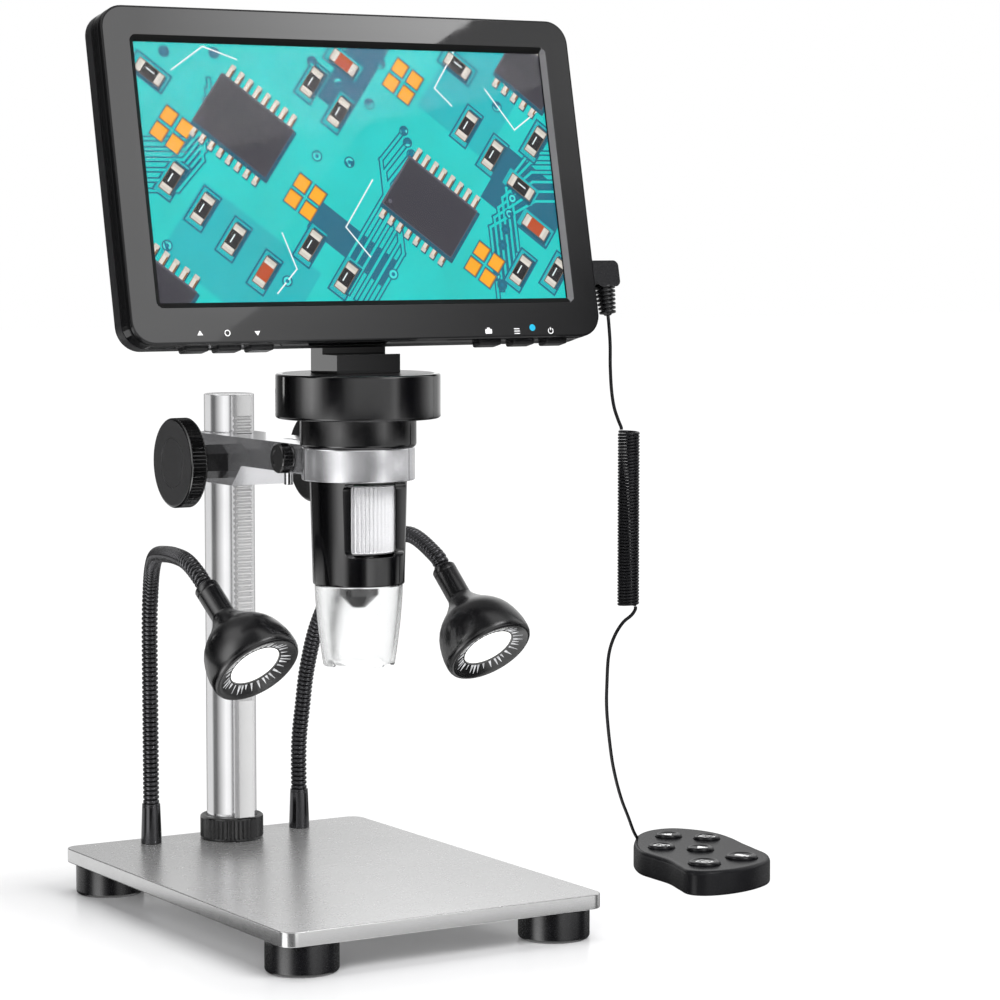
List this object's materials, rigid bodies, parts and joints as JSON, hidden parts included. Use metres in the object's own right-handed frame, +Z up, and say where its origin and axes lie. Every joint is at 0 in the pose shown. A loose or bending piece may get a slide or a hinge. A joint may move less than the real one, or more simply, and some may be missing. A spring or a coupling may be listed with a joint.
{
  "type": "lcd digital microscope",
  "caption": "Desktop digital microscope with a tilting screen on a rack-and-pinion arm, gooseneck lamps, a stage plate and a corded button remote.",
  "frame": {"origin": "on the stage plate's top face, under the optical axis", "axes": "+X to the viewer's right, +Y away from the viewer towards the column, +Z up along the optical axis"},
  "size_m": [0.264, 0.17, 0.3071],
  "materials": {
    "plate_metal": "satin silver lacquer",
    "rubber": "matte",
    "steel_screws": "zinc plated",
    "column_metal": "polished",
    "black_metal": "black anodised, knurled",
    "arm_metal": "polished",
    "chrome": "bright",
    "gear_brass": "machined",
    "head_plastic": "gloss black",
    "neck_plastic": "satin",
    "wheel_plastic": "ribbed, silvery white",
    "board": "solder mask",
    "led_board": "white board with light sources",
    "clear_plastic": "clear acrylic",
    "lens_glass": "coated",
    "case_plastic": "gloss dark grey",
    "back_plastic": "satin black",
    "screen_glass": "clear front",
    "picture": "lit panel",
    "battery_foil": "pouch foil",
    "socket_plastic": "black",
    "key_plastic": "satin black",
    "hose": "ribbed black sleeve",
    "lamp_shell": "gloss black",
    "lamp_light": "diffuser, lit",
    "cord_rubber": "satin black",
    "remote_plastic": "satin black",
    "pad_plastic": "gloss black"
  },
  "bodies": {
    "base": {"base_plate": "plate_metal", "feet": "rubber", "base_screws": "steel_screws", "column": "column_metal", "rack": "column_metal", "column_collar": "black_metal", "ferrule_left": "black_metal", "ferrule_right": "black_metal", "ferrule_nuts": "steel_screws"},
    "carriage": {"carriage": "arm_metal", "shaft_bushes": "black_metal", "slot_pin": "chrome"},
    "pinion": {"pinion": "gear_brass", "pinion_shaft": "chrome", "knob_left": "black_metal", "knob_right": "black_metal"},
    "clamp_screw": {"clamp_screw": "black_metal"},
    "head": {"barrel": "head_plastic", "head_housing": "head_plastic", "head_lid": "head_plastic", "tilt_neck": "neck_plastic", "sensor_board": "board", "led_ring": "led_board", "clear_cap": "clear_plastic", "cord_coil": "cord_rubber"},
    "focus_wheel": {"focus_wheel": "wheel_plastic"},
    "lens": {"lens_cell": "head_plastic", "objective_lens": "lens_glass"},
    "screen": {"screen_bezel": "case_plastic", "screen_back": "back_plastic", "screen_glass": "screen_glass", "lcd_panel": "picture", "main_board": "board", "battery": "battery_foil", "hinge_pin": "chrome", "remote_jack": "socket_plastic", "cord_plug": "cord_rubber", "cord_upper": "cord_rubber"},
    "remote": {"remote_shell": "remote_plastic", "remote_base": "remote_plastic", "remote_board": "board", "cord_lower": "cord_rubber"},
    "gooseneck_left": {"gooseneck_left": "hose"},
    "lamp_left": {"lamp_head_left": "lamp_shell", "lamp_disc_left": "lamp_light"},
    "gooseneck_right": {"gooseneck_right": "hose"},
    "lamp_right": {"lamp_head_right": "lamp_shell", "lamp_disc_right": "lamp_light"},
    "key_up": {"key_up": "key_plastic"},
    "key_select": {"key_select": "key_plastic"},
    "key_down": {"key_down": "key_plastic"},
    "key_photo": {"key_photo": "key_plastic"},
    "key_menu": {"key_menu": "key_plastic"},
    "key_power": {"key_power": "key_plastic"},
    "pad_up": {"pad_up": "pad_plastic"},
    "pad_mode": {"pad_mode": "pad_plastic"},
    "pad_zoom": {"pad_zoom": "pad_plastic"},
    "pad_down": {"pad_down": "pad_plastic"},
    "pad_select": {"pad_select": "pad_plastic"},
    "pad_video": {"pad_video": "pad_plastic"}
  },
  "joints": [
    {"name": "carriage_slide", "type": "slide", "parent": "base", "child": "carriage", "axis": [0, 0, 1], "range_m": [-0.062, 0.012]},
    {"name": "pinion_spin", "type": "hinge", "parent": "carriage", "child": "pinion", "pos_m": [0, 0.07989, 0.138], "axis": [1, 0, 0], "range_deg": [-180, 890]},
    {"name": "clamp_turn", "type": "hinge", "parent": "carriage", "child": "clamp_screw", "pos_m": [-0.012, 0.0285, 0.1422], "axis": [1, 0, 0], "range_deg": [-720, 0]},
    {"name": "head_swivel", "type": "hinge", "parent": "carriage", "child": "head", "pos_m": [0, 0, 0.147], "axis": [0, 0, 1], "range_deg": [-45, 45]},
    {"name": "focus_spin", "type": "hinge", "parent": "head", "child": "focus_wheel", "pos_m": [0, 0, 0.1235], "axis": [0, 0, 1], "range_deg": [-272, 272]},
    {"name": "lens_focus", "type": "slide", "parent": "head", "child": "lens", "axis": [0, 0, 1], "range_m": [-0.003, 0.003]},
    {"name": "screen_tilt", "type": "hinge", "parent": "head", "child": "screen", "pos_m": [0, 0.0076, 0.18885], "axis": [1, 0, 0], "range_deg": [-30, 12], "deforming": ["cord_upper"]},
    {"name": "key_up_press", "type": "slide", "parent": "screen", "child": "key_up", "axis": [0, 0.2147, 0.9767], "range_m": [0, 0.0006], "stiffness_N_per_m": 300, "springref_m": -0.00003},
    {"name": "key_select_press", "type": "slide", "parent": "screen", "child": "key_select", "axis": [0, 0.2147, 0.9767], "range_m": [0, 0.0006], "stiffness_N_per_m": 300, "springref_m": -0.00003},
    {"name": "key_down_press", "type": "slide", "parent": "screen", "child": "key_down", "axis": [0, 0.2147, 0.9767], "range_m": [0, 0.0006], "stiffness_N_per_m": 300, "springref_m": -0.00003},
    {"name": "key_photo_press", "type": "slide", "parent": "screen", "child": "key_photo", "axis": [0, 0.2147, 0.9767], "range_m": [0, 0.0006], "stiffness_N_per_m": 300, "springref_m": -0.00003},
    {"name": "key_menu_press", "type": "slide", "parent": "screen", "child": "key_menu", "axis": [0, 0.2147, 0.9767], "range_m": [0, 0.0006], "stiffness_N_per_m": 300, "springref_m": -0.00003},
    {"name": "key_power_press", "type": "slide", "parent": "screen", "child": "key_power", "axis": [0, 0.2147, 0.9767], "range_m": [0, 0.0006], "stiffness_N_per_m": 300, "springref_m": -0.00003},
    {"name": "remote_stay", "type": "slide", "parent": "head", "child": "remote", "axis": [0, 0, 1], "range_m": [-0.012, 0.062], "deforming": ["cord_lower"]},
    {"name": "pad_up_press", "type": "slide", "parent": "remote", "child": "pad_up", "axis": [0, 0, -1], "range_m": [0, 0.0007], "stiffness_N_per_m": 300, "springref_m": -0.00003},
    {"name": "pad_mode_press", "type": "slide", "parent": "remote", "child": "pad_mode", "axis": [0, 0, -1], "range_m": [0, 0.0007], "stiffness_N_per_m": 300, "springref_m": -0.00003},
    {"name": "pad_zoom_press", "type": "slide", "parent": "remote", "child": "pad_zoom", "axis": [0, 0, -1], "range_m": [0, 0.0007], "stiffness_N_per_m": 300, "springref_m": -0.00003},
    {"name": "pad_down_press", "type": "slide", "parent": "remote", "child": "pad_down", "axis": [0, 0, -1], "range_m": [0, 0.0007], "stiffness_N_per_m": 300, "springref_m": -0.00003},
    {"name": "pad_select_press", "type": "slide", "parent": "remote", "child": "pad_select", "axis": [0, 0, -1], "range_m": [0, 0.0007], "stiffness_N_per_m": 300, "springref_m": -0.00003},
    {"name": "pad_video_press", "type": "slide", "parent": "remote", "child": "pad_video", "axis": [0, 0, -1], "range_m": [0, 0.0007], "stiffness_N_per_m": 300, "springref_m": -0.00003},
    {"name": "lamp_left_swing", "type": "hinge", "parent": "base", "child": "gooseneck_left", "pos_m": [-0.03, 0.1, 0.0144], "axis": [0, 0, 1], "range_deg": [-40, 3]},
    {"name": "lamp_left_bend", "type": "hinge", "parent": "gooseneck_left", "child": "lamp_left", "pos_m": [-0.0435, 0.058, 0.1085], "axis": [-0.9798, 0.2, 0], "range_deg": [-20, 25], "deforming": ["gooseneck_left"]},
    {"name": "lamp_right_swing", "type": "hinge", "parent": "base", "child": "gooseneck_right", "pos_m": [0.03, 0.1, 0.0144], "axis": [0, 0, 1], "range_deg": [-3, 40]},
    {"name": "lamp_right_bend", "type": "hinge", "parent": "gooseneck_right", "child": "lamp_right", "pos_m": [0.037, 0.065, 0.103], "axis": [-0.9928, -0.12, 0], "range_deg": [-20, 25], "deforming": ["gooseneck_right"]}
  ],
  "couplings": [
    {"joint": "pinion_spin", "follows": "carriage_slide", "rad_per_m": -249.33},
    {"joint": "focus_spin", "follows": "lens_focus", "rad_per_m": 1570.8},
    {"joint": "remote_stay", "follows": "carriage_slide", "ratio": -1}
  ]
}
